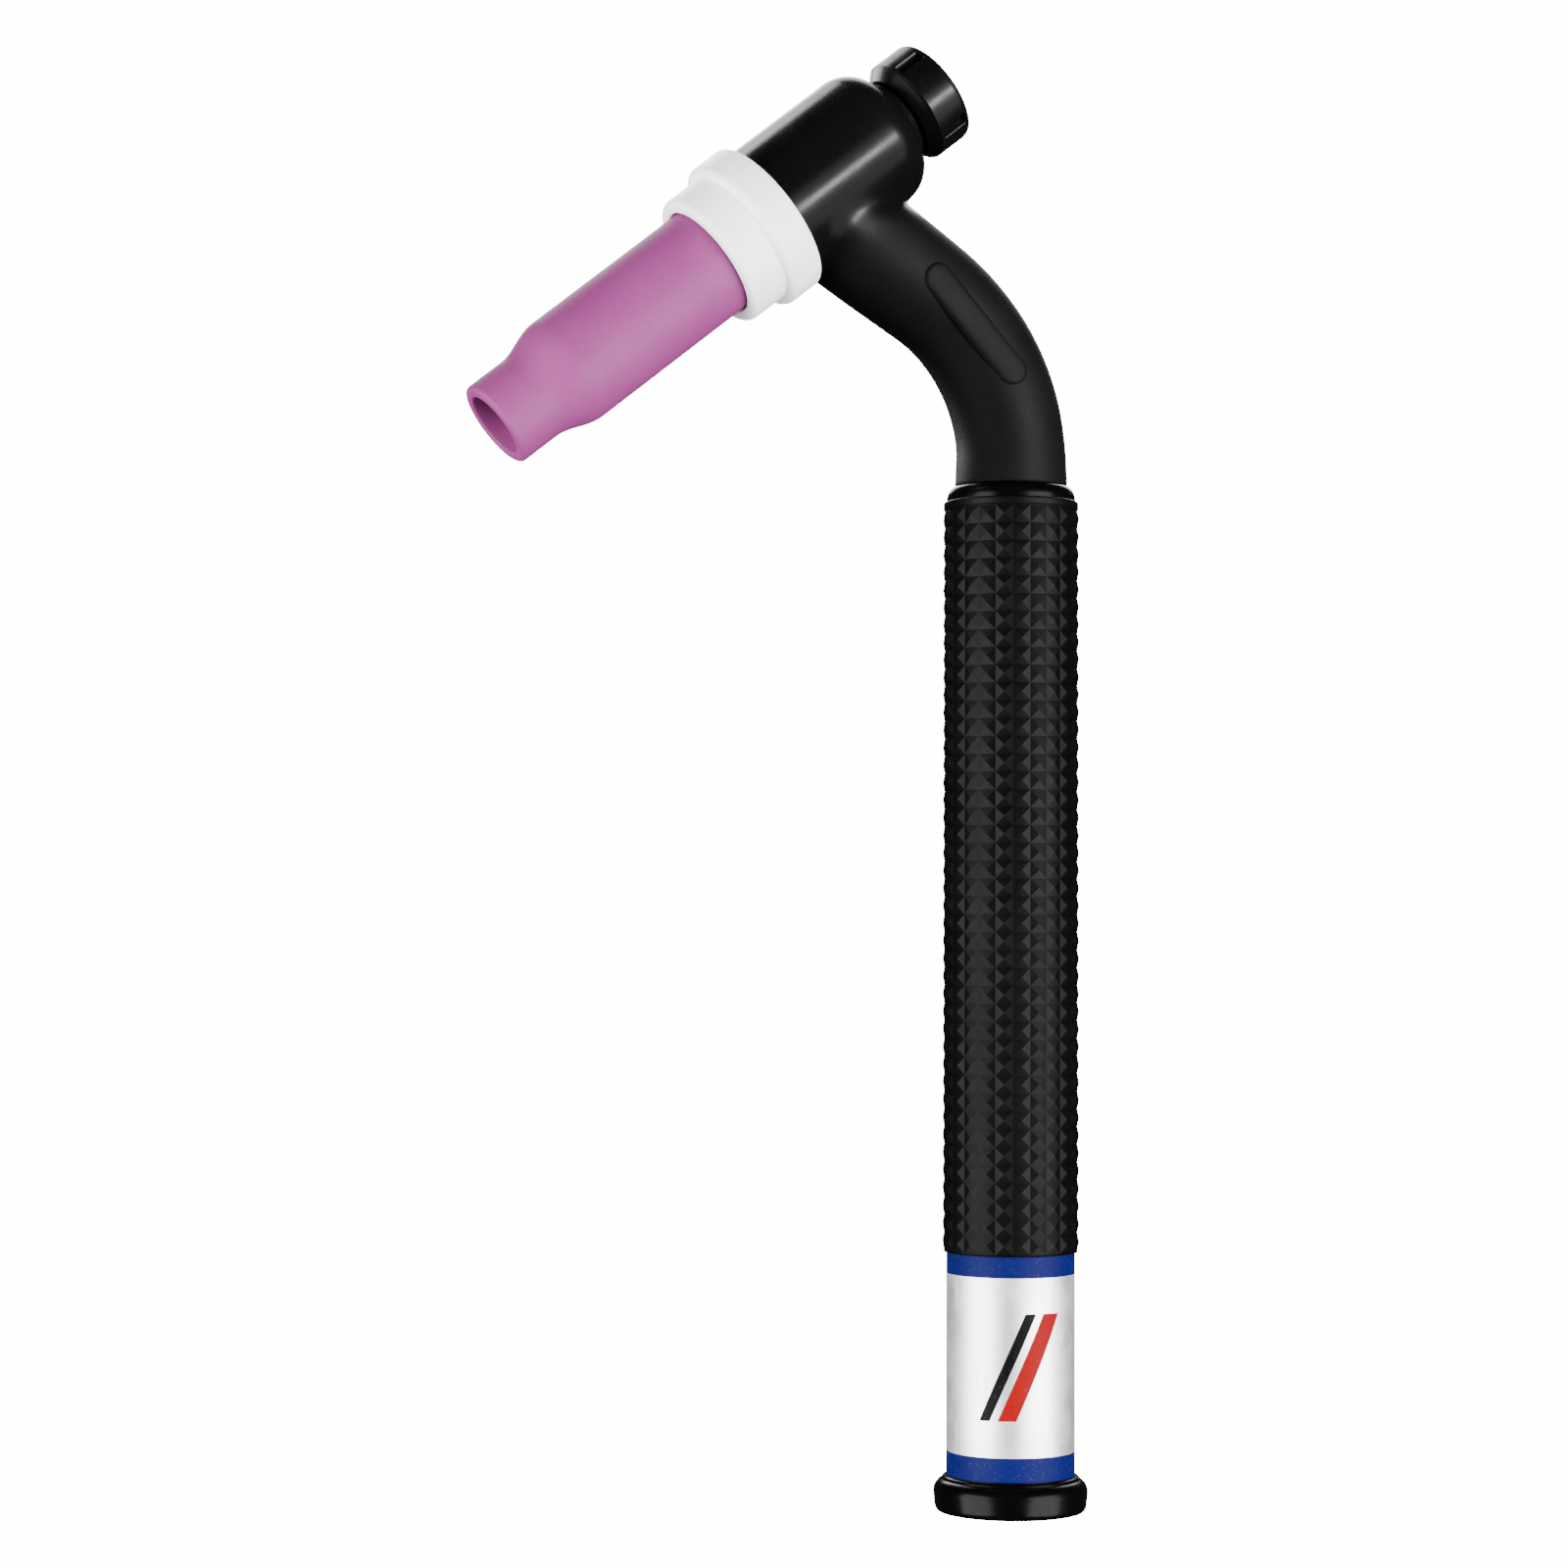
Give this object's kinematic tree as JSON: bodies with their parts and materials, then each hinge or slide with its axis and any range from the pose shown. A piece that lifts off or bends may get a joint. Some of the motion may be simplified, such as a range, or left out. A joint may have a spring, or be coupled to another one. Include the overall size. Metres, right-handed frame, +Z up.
{
  "type": "tig torch",
  "caption": "Slim hand-held TIG welding torch with a bent neck, ceramic gas nozzle, gas lens, collet, screw-on back cap and a textured handle.",
  "frame": {"origin": "centre of the handle's rear opening, on its rear face", "axes": "+Z up the handle towards the head; the head lies in the XZ plane with its nozzle towards -X"},
  "size_m": [0.1096, 0.0278, 0.2515],
  "materials": {
    "pink_alumina": "unglazed pink alumina, faintly satin",
    "white_insulator": "white heat-resistant plastic, waxy satin",
    "lens_copper": "turned copper alloy, fine tool marks",
    "fine_mesh": "fine woven stainless mesh",
    "coarse_mesh": "coarse woven stainless mesh",
    "spacer_brass": "turned brass",
    "spring_steel": "spring steel wire",
    "collet_copper": "drawn copper tube",
    "cap_plastic": "black moulded phenolic, glossy",
    "insert_brass": "turned brass",
    "seal_rubber": "black rubber, smooth",
    "block_brass": "machined brass",
    "head_rubber": "black moulded silicone rubber, glossy",
    "tube_copper": "drawn copper tube, lightly tarnished",
    "sleeve_red": "red shrink sleeve",
    "stud_brass": "turned brass",
    "handle_plastic": "black moulded plastic, glossy",
    "grip_rubber": "matte black rubber with small raised pyramids",
    "label_film": "silvery white printed film with blue bands"
  },
  "bodies": {
    "torch": {"head_block": "block_brass", "head_moulding": "head_rubber", "power_tube": "tube_copper", "tube_insulation": "sleeve_red", "power_stud": "stud_brass", "handle_tube": "handle_plastic", "grip_sleeve": "grip_rubber", "label": "label_film"},
    "insulator_ring": {"insulator": "white_insulator"},
    "gas_lens": {"gas_lens_body": "lens_copper", "fine_screens": "fine_mesh", "coarse_screens": "coarse_mesh", "screen_spacer": "spacer_brass", "screen_retainer": "spring_steel"},
    "gas_nozzle": {"nozzle": "pink_alumina"},
    "cap_seal": {"cap_oring": "seal_rubber"},
    "cap": {"back_cap": "cap_plastic", "cap_insert": "insert_brass"},
    "collet_tube": {"collet": "collet_copper"}
  },
  "joints": [
    {"name": "insulator_pull", "type": "slide", "parent": "torch", "child": "insulator_ring", "axis": [-0.7826, 0, -0.6225], "range_m": [0, 0.012]},
    {"name": "lens_turn", "type": "hinge", "parent": "insulator_ring", "child": "gas_lens", "pos_m": [-0.04489, 0, 0.21999], "axis": [-0.7826, 0, -0.6225], "range_deg": [0, 4320]},
    {"name": "nozzle_pull", "type": "slide", "parent": "gas_lens", "child": "gas_nozzle", "axis": [-0.7826, 0, -0.6225], "range_m": [0, 0.022]},
    {"name": "cap_pull", "type": "slide", "parent": "torch", "child": "cap_seal", "axis": [0.7826, 0, 0.6225], "range_m": [0, 0.012]},
    {"name": "cap_turn", "type": "hinge", "parent": "cap_seal", "child": "cap", "pos_m": [-0.02142, 0, 0.23867], "axis": [0.7826, 0, 0.6225], "range_deg": [0, 4320]},
    {"name": "collet_pull", "type": "slide", "parent": "torch", "child": "collet_tube", "axis": [0.7826, 0, 0.6225], "range_m": [0, 0.012]}
  ],
  "couplings": [
    {"joint": "insulator_pull", "follows": "lens_turn", "m_per_rad": 0.00015915},
    {"joint": "cap_pull", "follows": "cap_turn", "m_per_rad": 0.00015915},
    {"joint": "collet_pull", "follows": "cap_turn", "m_per_rad": 0.00015915}
  ]
}
